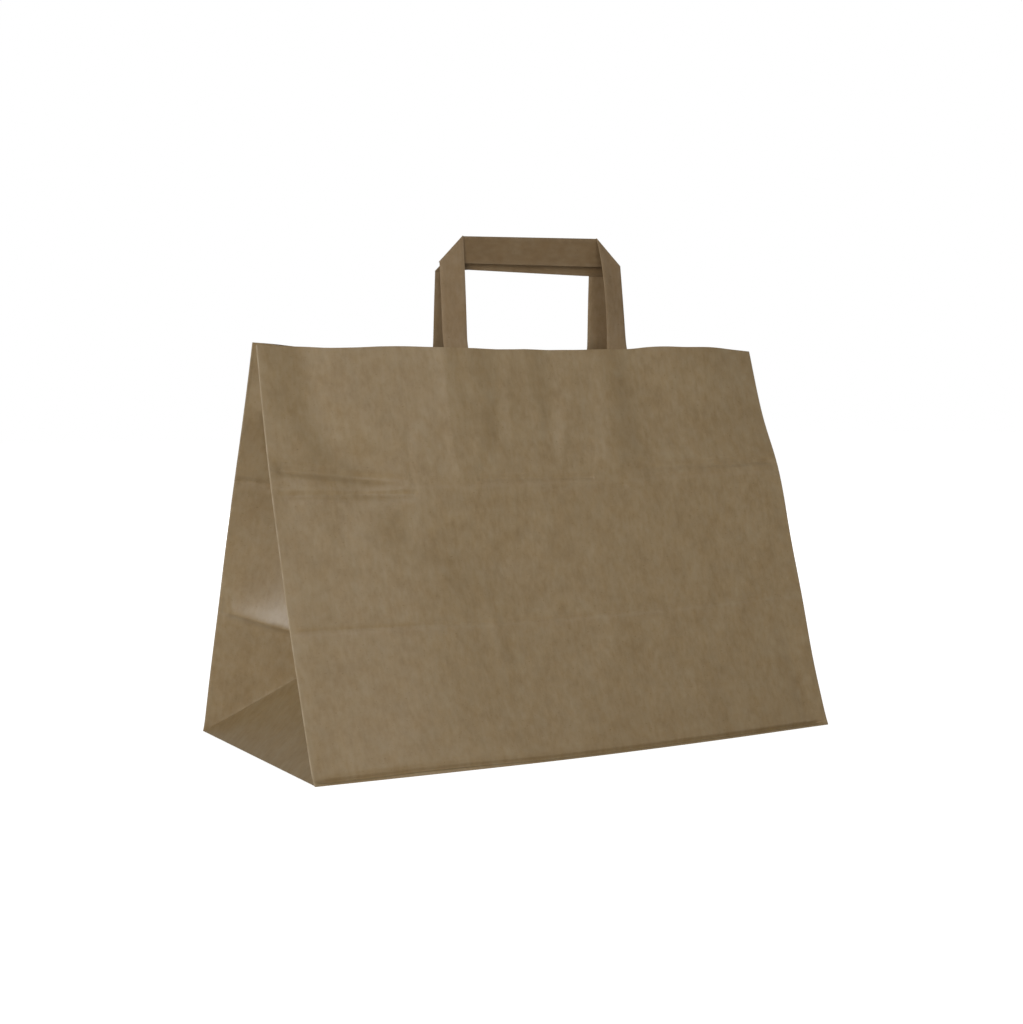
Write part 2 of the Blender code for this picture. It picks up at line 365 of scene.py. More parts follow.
@dataclass(frozen=True)
class Gusset:
    """A folded-in side: flat triangles low down, and two halves that meet at a fold above them.

    Attributes:
        end: which narrow side it is on.
        front: the front panel.
        back: the back panel.
        relief: relief on both halves, the front one's half as strong.
        back_relief: relief on the half beside the back panel alone.
    """

    FOLD_BAND = (0.5, 7.0)  # from the panel's fold, the relief starts here and grows over this
    CENTRE_BAND = (84.5, 4.0)  # the same beside the centre fold, where it ends
    DIAGONAL_BAND = (3.0, 10.0)  # above the diagonal fold
    LOW_BAND = (50.0, 30.0)  # up the paper
    STEEPEST = 0.4  # the relief is no higher than this share of the way to the fold
    CLEAR = 0.8  # the front panel's dents may come this near before the gusset gives way
    PRESSED_UP = (205.0, 20.0)
    PRESSED_IN = (84.0, 20.0)

    end: End
    front: Panel
    back: Panel
    relief: tuple[Ridge, ...]
    back_relief: tuple[Ridge, ...]

    def _edge(self, panel: Panel, t: Array) -> Array:
        """Points where the gusset starts, beside a panel."""
        y, z = panel.edge(self.end, t)
        x = np.full(np.shape(t), self.end.value * (SIZES.half_width - SIZES.nose))
        return np.stack([x, y - panel.side.value * 2 * SIZES.nose, z], -1)

    def _fold(self, t: Array) -> Array:
        """Points of the centre fold, which starts as high up the paper as half the depth."""
        held = np.maximum(t, SIZES.half_depth)
        front_y, front_z = self.front.edge(self.end, held)
        back_y, back_z = self.back.edge(self.end, held)
        share = (held - SIZES.half_depth) / (SIZES.height - SIZES.half_depth)
        drop = SIZES.gusset_drop_low + (SIZES.gusset_drop_mouth - SIZES.gusset_drop_low) * share
        reach = SIZES.half_depth**2 - ((back_y - front_y) / 2) ** 2 - drop**2
        x = self.end.value * (SIZES.half_width - np.sqrt(reach))
        return np.stack([x, (front_y + back_y) / 2, (front_z + back_z) / 2 - drop], -1)

    def _inner(self, panel: Panel, t: Array) -> Array:
        """Points where one half ends: on its diagonal fold, and above that on the centre fold."""
        top = self._fold(t) + np.array([0.0, panel.side.value * SIZES.nose, 0.0])
        foot = self._edge(panel, np.zeros_like(t))
        share = np.clip(t / SIZES.half_depth, 0, 1)[..., None]
        return foot + (top - foot) * share

    def _half(self, panel: Panel, off: Array, t: Array, meets: Array) -> tuple[Array, ...]:
        """One half as if it were flat.

        Args:
            panel: the panel beside it.
            off: distances on the paper from that panel's fold.
            t: places up the paper.
            meets: how far off the half ends there.

        Returns:
            Its direction towards the panel, its inner ends, and its points.
        """
        start, stop = self._edge(panel, t), self._inner(panel, t)
        run = np.maximum(meets - SIZES.nose_length, 1e-6)
        share = np.clip((off - SIZES.nose_length) / run, 0, 1)[..., None]
        return start - stop, stop, start + (stop - start) * share

    def place(self, u: Array, t: Array) -> Array:
        """Points of the standing gusset.

        Args:
            u: places across the gusset's paper, from the back panel's fold.
            t: places up the paper.

        Returns:
            One row of x, y, z for each place.
        """
        half, nose = SIZES.half_depth, SIZES.nose_length
        from_front = SIZES.depth - u
        meets = nose + np.clip(t / half, 0, 1) * (half - 2 * nose)
        back_way, in_back, on_back = self._half(self.back, u, t, meets)
        front_way, in_front, on_front = self._half(self.front, from_front, t, meets)
        middle = np.clip((u - meets) / np.maximum(SIZES.depth - 2 * meets, 1e-6), 0, 1)[..., None]
        low = in_back + (in_front - in_back) * middle
        turn = (middle[..., 0] - 0.5) * math.pi
        round_nose = (in_back + in_front) / 2
        round_nose[..., 0] -= self.end.value * SIZES.nose * np.cos(turn)
        round_nose[..., 1] -= SIZES.nose * np.sin(turn)
        band = np.where((t > half)[..., None], round_nose, low)
        made = np.where((u < meets)[..., None], on_back, band)
        made = np.where((from_front < meets)[..., None], on_front, made)
        made += self._uneven(u, t, back_way, front_way)
        pressed = np.minimum(self.front.uneven(made[..., 0], t) + self.CLEAR, 0.0)
        pressed *= ramp(t, self.PRESSED_UP) * ramp_down(from_front, self.PRESSED_IN) * (u > half)
        made[..., 1] += self.front.side.value * pressed
        return made

    def _uneven(self, u: Array, t: Array, back_way: Array, front_way: Array) -> Array:
        """Shifts of the paper by the relief on both halves."""
        from_front = SIZES.depth - u
        near = np.minimum(u, from_front)
        total = sum(part.rise(near, t) for part in self.relief)
        on_back = sum(part.rise(near, t) for part in self.back_relief)
        total += np.where(u < SIZES.half_depth, on_back, 0.0)
        total *= ramp(near, self.FOLD_BAND) * ramp_down(near, self.CENTRE_BAND)
        total *= ramp(t - near, self.DIAGONAL_BAND) * ramp(t, self.LOW_BAND)
        total = np.minimum(total * np.where(u < SIZES.half_depth, 1.0, 0.5), self.STEEPEST * near)
        way = np.where((u < SIZES.half_depth)[..., None], back_way, front_way)
        out = np.cross(way, np.array([0.0, 0.0, 1.0]))
        faces = np.where(u < SIZES.half_depth, self.front.side.value, self.back.side.value)
        out *= np.sign(out[..., 1:2]) * faces[..., None]
        out /= np.maximum(np.linalg.norm(out, axis=-1, keepdims=True), 1e-6)
        return out * total[..., None]


# --- Work in Blender ---


def deselect_all() -> None:
    """Leaves nothing selected."""
    for thing in bpy.context.view_layer.objects:
        thing.select_set(False)


def make_active(piece: Piece) -> None:
    """Leaves only this piece selected, and active."""
    deselect_all()
    piece.select_set(True)
    bpy.context.view_layer.objects.active = piece


def added(name: str) -> Piece:
    """Names the primitive that was just added."""
    piece = bpy.context.view_layer.objects.active
    piece.name = name
    piece.data.name = name
    return piece


def flat_grid(name: str, size: Pair, faces: tuple[int, int]) -> Piece:
    """A flat sheet with its low corner at the origin, left in edit mode with all of it selected.

    Args:
        name: name of the piece.
        size: its size along X and Y, in millimetres.
        faces: how many faces it has each way.

    Returns:
        The new object.
    """
    deselect_all()
    bpy.ops.mesh.primitive_grid_add(x_subdivisions=faces[0], y_subdivisions=faces[1], size=1.0)
    piece = added(name)
    bpy.ops.object.mode_set(mode="EDIT")
    bpy.ops.mesh.select_all(action="SELECT")
    bpy.ops.transform.translate(value=(0.5, 0.5, 0.0))
    bpy.ops.transform.resize(value=(size[0] * MM, size[1] * MM, 1.0), center_override=(0, 0, 0))
    return piece


def select_box(piece: Piece, low: Pair, high: Pair) -> None:
    """Selects the flat sheet's faces whose middles lie in a box, given in millimetres."""
    shape = bmesh.from_edit_mesh(piece.data)
    for face in shape.faces:
        middle = face.calc_center_median() / MM
        inside = low[0] <= middle.x <= high[0] and low[1] <= middle.y <= high[1]
        face.select_set(inside)
    shape.select_flush(False)
    bmesh.update_edit_mesh(piece.data)


def cut_line(place: Pair, across: Pair) -> None:
    """Cuts the selected faces along a line.

    Args:
        place: a point of the line, in millimetres.
        across: the direction square to it.
    """
    bpy.ops.mesh.bisect(
        plane_co=(place[0] * MM, place[1] * MM, 0.0), plane_no=(across[0], across[1], 0.0)
    )


def add_flat_map(piece: Piece, flat: Array) -> None:
    """Gives a piece the UV map "sheet", which holds each corner's place on the flat paper.

    Args:
        piece: the piece, in object mode.
        flat: that place for each vertex, in metres.
    """
    layer = piece.data.uv_layers.get("sheet") or piece.data.uv_layers.new(name="sheet")
    corners = np.zeros(len(piece.data.loops), np.int32)
    piece.data.loops.foreach_get("vertex_index", corners)
    layer.data.foreach_set("uv", flat[corners].astype(np.float32).ravel())


def add_tone(piece: Piece, name: str, values: Array) -> None:
    """Gives a piece an attribute with one value for each vertex."""
    layer = piece.data.attributes.new(name, "FLOAT", "POINT")
    layer.data.foreach_set("value", values.astype(np.float32))


def points_of(piece: Piece) -> Array:
    """The piece's vertices in millimetres."""
    flat = np.zeros(len(piece.data.vertices) * 3, np.float32)
    piece.data.vertices.foreach_get("co", flat)
    return flat.reshape(-1, 3).astype(float) / MM


def set_points(piece: Piece, points: Array) -> None:
    """Moves the piece's vertices to these points, given in millimetres."""
    piece.data.vertices.foreach_set("co", (points * MM).astype(np.float32).ravel())
    piece.data.update()


def apply_modifier(piece: Piece, kind: str, **settings: float | bool | str) -> None:
    """Adds a modifier with these settings and applies it."""
    make_active(piece)
    modifier = piece.modifiers.new(kind.lower(), kind)
    for name, value in settings.items():
        setattr(modifier, name, value)
    bpy.ops.object.modifier_apply(modifier=modifier.name)


def thicken(piece: Piece, thickness: float) -> None:
    """Gives a sheet its thickness, half on each side."""
    apply_modifier(piece, "SOLIDIFY", thickness=thickness * MM, offset=0.0, use_rim=True)


def face_outward(piece: Piece) -> None:
    """Turns every face of a closed piece outward."""
    make_active(piece)
    bpy.ops.object.mode_set(mode="EDIT")
    bpy.ops.mesh.select_all(action="SELECT")
    bpy.ops.mesh.normals_make_consistent(inside=False)
    bpy.ops.object.mode_set(mode="OBJECT")


def smooth_faces(piece: Piece, degrees: float) -> None:
    """Shades the piece smooth, with folds sharper than this angle left sharp."""
    make_active(piece)
    bpy.ops.object.shade_smooth_by_angle(angle=math.radians(degrees))


# --- Finishes ---


def new_group(name: str, inputs: dict[str, float | None], outputs: tuple[str, ...]):
    """An empty node group with named sockets.

    Args:
        name: name of the group.
        inputs: default of each value that goes in, None where a vector goes in.
        outputs: names of the values that come out.

    Returns:
        The group, its input node and its output node.
    """
    group = bpy.data.node_groups.new(name, "ShaderNodeTree")
    for label, value in inputs.items():
        kind = "NodeSocketVector" if value is None else "NodeSocketFloat"
        made = group.interface.new_socket(name=label, in_out="INPUT", socket_type=kind)
        if value is not None:
            made.default_value = value
    for label in outputs:
        group.interface.new_socket(name=label, in_out="OUTPUT", socket_type="NodeSocketFloat")
    return group, group.nodes.new("NodeGroupInput"), group.nodes.new("NodeGroupOutput")


@dataclass(frozen=True)
class Wiring:
    """Adds nodes to a tree and joins them."""

    tree: Tree

    def node(self, kind: str, **settings: object) -> bpy.types.Node:
        """A new node of this kind with these settings."""
        made = self.tree.nodes.new(kind)
        for name, value in settings.items():
            setattr(made, name, value)
        return made

    def feed(self, target: Socket, value: object) -> None:
        """Joins a socket to an input, or sets a constant on it."""
        if isinstance(value, Socket):
            self.tree.links.new(value, target)
        else:
            target.default_value = value

    def feed_all(self, node: bpy.types.Node, values: dict[str | int, object]) -> None:
        """Joins or sets several inputs of a node, each given by its name or number."""
        for label, value in values.items():
            self.feed(node.inputs[label], value)

    def math(self, operation: str, *values: object, held: bool = False) -> Socket:
        """The output of a Math node."""
        made = self.node("ShaderNodeMath", operation=operation, use_clamp=held)
        self.feed_all(made, dict(enumerate(values)))
        return made.outputs[0]

    def mix(self, factor: object, first: object, second: Triple, blend: str = "MIX") -> Socket:
        """The output of a Mix node for colours, whose second colour is fixed."""
        made = self.node("ShaderNodeMix", data_type="RGBA", blend_type=blend)
        self.feed_all(made, {"Factor": factor, "A": first, "B": (*second, 1.0)})
        return made.outputs["Result"]

    def attribute(self, name: str) -> Socket:
        """The value of one of the piece's attributes."""
        return self.node("ShaderNodeAttribute", attribute_name=name).outputs["Fac"]

    def noise(self, vector: object, stretch: Pair, detail: float, roughness: float) -> Socket:
        """Noise on the flat paper.

        Args:
            vector: the place on the paper, in metres.
            stretch: how many grains fit in a metre across the paper and up it.
            detail: octaves of the noise.
            roughness: how strong the finer octaves are.

        Returns:
            Its value, from 0 to 1 about 0.5.
        """
        scaled = self.node("ShaderNodeVectorMath", operation="MULTIPLY")
        self.feed_all(scaled, {0: vector, 1: (*stretch, 1.0)})
        made = self.node("ShaderNodeTexNoise")
        grain = {"Scale": 1.0, "Detail": detail, "Roughness": roughness}
        self.feed_all(made, {"Vector": scaled.outputs[0], **grain})
        return made.outputs["Fac"]


def fibre_group() -> Tree:
    """The grain of kraft paper: streaks up the paper, mottling, soft clouds and loose fibres."""
    inputs = {"Place": None, "Streaks": 0.1, "Mottle": 0.1, "Clouds": 0.05, "Fibres": 0.1}
    group, start, end = new_group("kraft grain", inputs, ("Shade", "Warmth", "Height"))
    wire = Wiring(group)
    place = start.outputs["Place"]
    streaks = wire.noise(place, (430.0, 150.0), 2.0, 0.5)
    mottle = wire.noise(place, (215.0, 150.0), 3.0, 0.55)
    clouds = wire.noise(place, (60.0, 42.0), 3.0, 0.5)
    fleck = wire.noise(place, (500.0, 900.0), 1.0, 0.5)
    dark = wire.math("SUBTRACT", fleck, 0.66, held=True)
    total = 1.0
    for value, strength in ((streaks, "Streaks"), (mottle, "Mottle"), (clouds, "Clouds")):
        even = wire.math("SUBTRACT", value, 0.5)
        total = wire.math("ADD", wire.math("MULTIPLY", even, start.outputs[strength]), total)
    total = wire.math("SUBTRACT", total, wire.math("MULTIPLY", dark, start.outputs["Fibres"]))
    shift = wire.node("ShaderNodeVectorMath", operation="ADD")
    wire.feed_all(shift, {0: place, 1: (0.7, 0.3, 0.0)})
    tint = wire.noise(shift.outputs[0], (130.0, 95.0), 3.0, 0.6)
    deeper = wire.math("MULTIPLY", wire.math("SUBTRACT", 1.0, total), 3.0)
    warmth = wire.math("ADD", tint, deeper, held=True)
    raised = wire.math("MULTIPLY", mottle, 0.8)
    height = wire.math("ADD", wire.math("MULTIPLY", streaks, 0.6), raised)
    wire.feed_all(end, {"Shade": total, "Warmth": warmth, "Height": height})
    return group


def highlight_and_wear_group() -> Tree:
    """Painted highlight along creases, folds and edges, partly rubbing wear, broken up by the
    paper's grain.
    """
    inputs = {"Place": None, "Crease": 0.0, "Strength": 0.2}
    group, start, end = new_group("crease wear", inputs, ("Mask",))
    wire = Wiring(group)
    patches = wire.noise(start.outputs["Place"], (160.0, 160.0), 3.0, 0.6)
    broken = wire.math("MULTIPLY_ADD", patches, 1.6, -0.25)
    highlight_and_wear_mask = wire.math("MULTIPLY", broken, start.outputs["Crease"], held=True)
    wire.feed_all(end, {"Mask": wire.math("MULTIPLY", highlight_and_wear_mask, start.outputs["Strength"])})
    return group


@dataclass(frozen=True)
class KraftFinish:
    """The finish of one kind of kraft paper."""

    name: str
    colour: Triple
    # colour of the painted highlight along creases, folds and edges, partly worn paper
    highlight_and_wear_colour: Triple
    streaks: float = 0.24
    mottle: float = 0.46
    clouds: float = 0.42
    fibres: float = 1.4
    warmth: float = 0.09
    # painted shade on the handle's bar: its colour is multiplied by this
    bar_shade: Triple = (1.0, 1.0, 1.0)
    # strength of that painted highlight along creases, folds and edges
    highlight_and_wear: float = 0.30
    roughness: float = 0.36
    bump: float = 0.10
    bump_depth: float = 0.00012

    def build(self, grain: Tree, highlight_and_wear: Tree) -> Material:
        """Makes the material.

        Args:
            grain: the node group for the paper's grain.
            highlight_and_wear: the node group for the painted highlight along creases, folds and
                edges, partly wear.

        Returns:
            The new material.
        """
        made = bpy.data.materials.new(self.name)
        made.use_nodes = True
        made.diffuse_color = (*self.colour, 1.0)
        wire = Wiring(made.node_tree)
        place = wire.node("ShaderNodeUVMap", uv_map="sheet").outputs["UV"]
        fibre = wire.node("ShaderNodeGroup", node_tree=grain)
        wire.feed_all(fibre, {"Place": place, "Streaks": self.streaks, "Mottle": self.mottle})
        wire.feed_all(fibre, {"Clouds": self.clouds, "Fibres": self.fibres})
        red, green, blue = self.colour
        cool = (red * (1 - self.warmth / 2), green, blue * (1 + self.warmth), 1.0)
        warm = (red * (1 + self.warmth / 2), green, blue * (1 - self.warmth))
        toned = wire.mix(fibre.outputs["Warmth"], cool, warm)
        # painted shade: the bar's rungs are multiplied darker and warmer, for the shade and missing
        # sheen on the bar
        face = wire.mix(wire.attribute("bar_shade"), toned, self.bar_shade, "MULTIPLY")
        shaded = wire.node("ShaderNodeVectorMath", operation="SCALE")
        wire.feed_all(shaded, {0: face, "Scale": fibre.outputs["Shade"]})
        # painted highlight along creases, folds and edges, partly rubbing wear, mixed over the
        # paper's colour
        highlight_and_scuff = wire.node("ShaderNodeGroup", node_tree=highlight_and_wear)
        crease = wire.attribute("crease")
        wire.feed_all(highlight_and_scuff, {"Place": place, "Crease": crease, "Strength": self.highlight_and_wear})
        mixed = wire.mix(highlight_and_scuff.outputs["Mask"], shaded.outputs["Vector"], self.highlight_and_wear_colour)
        bump = wire.node("ShaderNodeBump")
        wire.feed_all(bump, {"Strength": self.bump, "Distance": self.bump_depth})
        wire.feed_all(bump, {"Height": fibre.outputs["Height"]})
        shader = made.node_tree.nodes["Principled BSDF"]
        wire.feed_all(shader, {"Base Color": mixed, "Roughness": self.roughness})
        wire.feed_all(shader, {"Normal": bump.outputs["Normal"]})
        return made


@dataclass(frozen=True)
class PlainFinish:
    """The plain pale finish of the studio floor, which the camera sees brightly lit."""

    name: str
    colour: Triple
    glow: float

    def build(self) -> Material:
        """Makes the material."""
        made = bpy.data.materials.new(self.name)
        made.use_nodes = True
        wire = Wiring(made.node_tree)
        shader = made.node_tree.nodes["Principled BSDF"]
        seen = wire.node("ShaderNodeLightPath").outputs["Is Camera Ray"]
        glow = wire.math("MULTIPLY", seen, self.glow)
        wire.feed_all(shader, {"Base Color": (*self.colour, 1.0), "Roughness": 0.9})
        wire.feed_all(shader, {"Specular IOR Level": 0.0, "Emission Color": (1.0, 1.0, 1.0, 1.0)})
        wire.feed_all(shader, {"Emission Strength": glow})
        return made


# --- The pieces ---

CREASE_LINES = (SIZES.half_depth, SIZES.depth)
KRAFT = (0.282, 0.199, 0.101)

FRONT_RELIEF = (
    # the crease across the panel, as high up as the bag is deep
    Ridge(
        ((-178, 178.5), (-150, 176), (-125, 174), (-105, 172), (-84, 170)), -2.7, 2.8, tapered=True
    ),
    Ridge(((-176, 162.5), (-120, 162.8), (-88, 162.5)), -0.7, 1.5),
    Ridge(((-44, 171), (-14, 171), (32, 170)), -0.6, 1.5),
    Ridge(((-2, 164.5), (26, 165), (56, 164)), -0.45, 1.3),
    Ridge(((176, 174), (130, 174), (95, 174.5), (70, 174), (42, 172)), -1.7, 2.2, tapered=True),
    # the crease where the lowest paper flares out
    Ridge(((-176, 2.9), (-60, 3.2), (60, 2.9), (176, 2.3)), -2.4, 1.4),
    # the crease half as high
    Ridge(((-176, 85.2), (0, 84.7), (176, 85)), -0.3, 1.4),
    # buckles below the mouth, where the handle's legs and patch hold the paper
    Ridge(((-147, 250), (-144, 215), (-133, 190), (-120, 178)), -3.2, 17.0),
    Ridge(((-56, 250), (-55, 215), (-54, 180)), 0.8, 10.0),
    Ridge(((-38, 250), (-38, 215), (-40, 190)), 0.5, 7.0),
    Ridge(((-20, 250), (-24, 218), (-27, 200)), -0.5, 6.0),
    Ridge(((-1, 250), (0, 225), (4, 205)), 0.6, 6.0),
    Ridge(((17, 250), (14, 215), (8, 197)), -0.6, 7.0),
    Ridge(((57, 250), (56, 215), (52, 185)), 2.2, 14.0),
    Ridge(((-44, 255), (-46, 220)), 4.6, 48.0),
    Ridge(((34, 255), (32, 200)), 2.7, 36.0),
    Ridge(((-59, 246), (-60, 190), (-57, 172)), 0.2, 2.5),
    Ridge(((-87, 203), (-88.5, 185), (-88, 164)), -0.25, 2.0),
    Ridge(((-41, 202), (-45, 180)), 0.2, 3.0),
    Ridge(((18, 202), (14, 182)), 0.25, 3.5),
    Ridge(((-17, 220), (-19, 194)), 0.2, 3.5),
    # slight wrinkles lower down
    Ridge(((-154, 149), (-145, 138), (-133, 121)), 0.3, 3.5),
    Ridge(((-57, 106), (-49, 86), (-46, 58)), 0.3, 4.0),
    Ridge(((-92, 140), (-66, 128), (-40, 120)), -1.2, 14.0),
    Ridge(((-92, 96), (-96, 60), (-100, 16)), 2.2, 42.0),
    Ridge(((158, 58), (160, 30), (163, 8)), -0.9, 7.0),
    Buckles(0.5, 48.0, 3.7),
)

GUSSET_RELIEF = (
    Ridge(((-5, 85.5), (90, 85.5)), 2.5, 13.0, crisp=True),
    Ridge(((-5, 85.5), (34, 85.5)), 1.9, 14.0, crisp=True),
    Ridge(((-5, 81.5), (90, 81.5)), -1.5, 3.6),
    Ridge(((-5, 170), (90, 170)), -1.0, 1.8),
    Ridge(((-5, 178), (90, 178)), 0.6, 5.0),
)

BACK_HALF_RELIEF = (
    # the half beside the back panel bulges out below the mouth
    Ridge(((11.5, 255), (11.5, 216)), 4.2, 8.0),
    Ridge(((14, 216), (18, 184)), 1.4, 9.0),
)


class Part:
    """A piece of the bag. It stands for one of the solids."""

    kind: str
    slot: str

    @property
    def node(self) -> str:
        """Name of the solid: that of the piece's kind on its side of the bag."""
        return ("front_" if self.side is Side.FRONT else "rear_") + self.kind

    def dress(self, piece: Piece, material: Material) -> None:
        """Gives the piece its finish and its body, and hides the solid that it stands for."""
        piece.data.materials.clear()
        piece.data.materials.append(material)
        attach(piece, BODY)
        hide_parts(self.node)


@dataclass
class BagBody(Part):
    """The folded sheet: panels, gussets, block bottom and lengthwise seam."""

    node = "bag_body"
    slot = "bag_kraft"

    front: Panel
    back: Panel
    pitch: float = 4.8
    fold_steps: int = 2
    flap_rows: tuple[float, ...] = (0.8, 8.0, 86.0)
    foot_lines: tuple[float, ...] = (1.7, 3.1, 4.3)
    front_bands: tuple[Pair, ...] = ((0.0, 6.0), (82.0, 88.0), (159.0, 180.0))
    leg_box: tuple[Pair, Pair] = ((-92.0, 177.0), (-54.0, 236.0))
    gusset_bands: tuple[Pair, ...] = ((76.0, 120.0), (162.0, 178.0), (81.0, 90.0), (166.0, 175.0))
    # painted highlight along the folds and creases, partly rubbing wear: its widths, and its
    # strength on the diagonal folds
    fold_highlight_and_wear_width: float = 0.6
    crease_highlight_width: float = 0.8
    diagonal_highlight_and_wear: float = 0.35
    lifts: Triple = (0.06, 0.20, 0.34)  # front flap, back flap and tucks
    lift_fades: float = 8.0

    def __post_init__(self) -> None:
        """Works out where the sheet's folds lie along it."""
        self.back_low = SIZES.seam_start + SIZES.half_width
        self.front_low = self.back_low + SIZES.depth
        self.front_high = self.front_low + SIZES.width
        self.back_high = self.front_high + SIZES.depth
        self.length = self.back_high + SIZES.half_width - SIZES.seam_end
        self.folds = (self.back_low, self.front_low, self.front_high, self.back_high)
        self.starts = (self.back_low, self.front_high)
        self.gussets = [
            Gusset(end, self.front, self.back, GUSSET_RELIEF, BACK_HALF_RELIEF) for end in End
        ]

    def build(self) -> Piece:
        """Makes the sheet flat, with an edge along every fold, and folds it."""
        sheet = self._flat_sheet()
        flat = points_of(sheet)[:, :2]
        add_flat_map(sheet, flat * MM)
        # painted highlight along the folds and creases, partly wear
        add_tone(sheet, "crease", self._fold_highlight_and_wear(flat[:, 0], flat[:, 1]))
        set_points(sheet, self._fold_up(flat[:, 0], flat[:, 1]))
        thicken(sheet, SIZES.paper)
        smooth_faces(sheet, 32.0)
        return sheet

    def _flat_sheet(self) -> Piece:
        """The cut sheet before it is folded, in object mode."""
        columns, rows = round(self.length / self.pitch), round(SIZES.height / self.pitch)
        sheet = flat_grid("bag_body_sheet", (self.length, SIZES.height), (columns, rows))
        cuts = [((place, 0.0), (1.0, 0.0)) for place in self._fold_columns()]
        cuts += [((0.0, row), (0.0, 1.0)) for row in (*CREASE_LINES, *self.foot_lines)]
        for place, across in cuts:
            bpy.ops.mesh.select_all(action="SELECT")
            cut_line(place, across)
        for start in self.starts:
            self._cut_diagonals(sheet, start)
        low, high = self.front_low + 1, self.front_high - 1
        middle = (self.front_low + self.front_high) / 2
        self._refine(sheet, (low, 0.0), (high, SIZES.height))
        for foot, top in self.front_bands:
            self._refine(sheet, (low, foot), (high, top))
        (left, foot), (right, top) = self.leg_box
        self._refine(sheet, (middle + left, foot), (middle + right, top))
        for start in self.starts:
            for foot, top in self.gusset_bands:
                self._refine(sheet, (start + 1, foot), (start + SIZES.depth - 1, top))
        bpy.ops.mesh.select_all(action="SELECT")
        bpy.ops.mesh.remove_doubles(threshold=0.00005)
        self._add_flaps(sheet)
        bpy.ops.object.mode_set(mode="OBJECT")
        return sheet

    def _fold_columns(self) -> list[float]:
        """Where the sheet is cut for its upright folds, with room for the nose of each."""
        folds = (*self.folds, *(start + SIZES.half_depth for start in self.starts))
        step = SIZES.nose_length / self.fold_steps
        offsets = [number * step for number in range(-self.fold_steps, self.fold_steps + 1)]
        offsets += [side * (SIZES.nose_length + 0.6) for side in (-1, 1)]
        return [fold + offset for fold in folds for offset in offsets]

    def _cut_diagonals(self, sheet: Piece, start: float) -> None:
        """Cuts the two diagonal folds low on the gusset that starts here."""
        nose, half = SIZES.nose_length, SIZES.half_depth
        run = half - 2 * nose
        for shift in (-1.0, 0.0, 1.0):
            select_box(sheet, (start + nose, 0.0), (start + half - nose, half))
            cut_line((start + nose, shift), (half, -run))
            select_box(sheet, (start + half + nose, 0.0), (start + SIZES.depth - nose, half))
            cut_line((start + SIZES.depth - nose, shift), (half, run))

    def _refine(self, sheet: Piece, low: Pair, high: Pair) -> None:
        """Halves the faces in a box of the flat sheet, where creases are narrow."""
        select_box(sheet, low, high)
        bpy.ops.mesh.subdivide(number_cuts=1)

    def _add_flaps(self, sheet: Piece) -> None:
        """Draws the bottom flaps and tucks out of the sheet's lower edge."""
        shape = bmesh.from_edit_mesh(sheet.data)
        bpy.ops.mesh.select_all(action="DESELECT")
        for edge in shape.edges:
            edge.select_set(all(abs(corner.co.y) < 1e-6 for corner in edge.verts))
        bmesh.update_edit_mesh(sheet.data)
        reached = 0.0
        for row in self.flap_rows:
            bpy.ops.mesh.extrude_edges_move(
                TRANSFORM_OT_translate={"value": (0.0, (reached - row) * MM, 0.0)}
            )
            reached = row

    def _fold_highlight_and_wear(self, s: Array, t: Array) -> Array:
        """How strongly each place on the flat sheet gets the painted highlight along folds and
        creases, partly wear.
        """
        highlight_and_wear_mask = np.zeros_like(s)
        # painted highlight along the upright folds, partly wear
        for fold in self.folds:
            highlight_and_wear_mask = np.maximum(highlight_and_wear_mask, np.exp(-(((s - fold) / self.fold_highlight_and_wear_width) ** 2)))
        # painted highlight along the diagonal folds low on the gussets, partly wear
        for start in self.starts:
            u = s - start
            on_gusset = (u > 0) & (u < SIZES.depth) & (t < SIZES.half_depth + 1)
            gap = np.abs(np.minimum(u, SIZES.depth - u) - t) / math.sqrt(2)
            near = np.exp(-((gap / self.fold_highlight_and_wear_width) ** 2))
            highlight_and_wear_mask = np.maximum(highlight_and_wear_mask, np.where(on_gusset, self.diagonal_highlight_and_wear * near, 0.0))
        # painted highlight in a band just below each crease across the paper
        for row, below, strength in ((SIZES.half_depth, 2.0, 0.12), (SIZES.depth, 3.5, 0.15)):
            near = strength * np.exp(-(((t - row + below) / self.crease_highlight_width) ** 2))
            highlight_and_wear_mask = np.maximum(highlight_and_wear_mask, near)
        return highlight_and_wear_mask

    def _fold_up(self, s: Array, t: Array) -> Array:
        """Takes each place on the flat sheet to where it stands."""
        up = np.maximum(t, 0.0)
        points = np.zeros((len(s), 3))
        half, nose = SIZES.half_width, SIZES.nose_length
        inner = half - SIZES.nose

        def across(u: Array) -> Array:
            """x on a panel at a distance from its fold at -X."""
            return -inner + (u - nose) * (2 * inner) / (SIZES.width - 2 * nose)

        near = nose * 0.999
        on_front = (s >= self.front_low + near) & (s <= self.front_high - near)
        points[on_front] = self.front.place(across(s[on_front] - self.front_low), up[on_front])
        on_back = s <= self.back_low - near
        points[on_back] = self.back.place(across(self.back_low - s[on_back]), up[on_back])
        on_lap = s >= self.back_high + near
        lap_x = across(SIZES.width - (s[on_lap] - self.back_high))
        lift = SIZES.seam_lift * smooth_step((SIZES.seam_start + 2.5 - lap_x) / 2.0)
        points[on_lap] = self.back.place(lap_x, up[on_lap], lift)
        for gusset, start in zip(self.gussets, self.starts):
            u = s - start if gusset.end is End.LOW else start + SIZES.depth - s
            held = (u > near) & (u < SIZES.depth - near)
            points[held] = gusset.place(u[held], up[held])
        panels = (self.back, self.front, self.front, self.back)
        for number, (panel, fold) in enumerate(zip(panels, self.folds)):
            held = np.abs(s - fold) < near
            turn = (s[held] - fold) / SIZES.nose
            end = End.LOW if number < 2 else End.HIGH
            y, z = panel.edge(end, up[held])
            sign = end.value
            points[held, 0] = sign * (inner + SIZES.nose * np.cos(turn))
            points[held, 1] = y - panel.side.value * SIZES.nose + sign * SIZES.nose * np.sin(turn)
            points[held, 2] = z
        return self._fold_under(s, t, points)

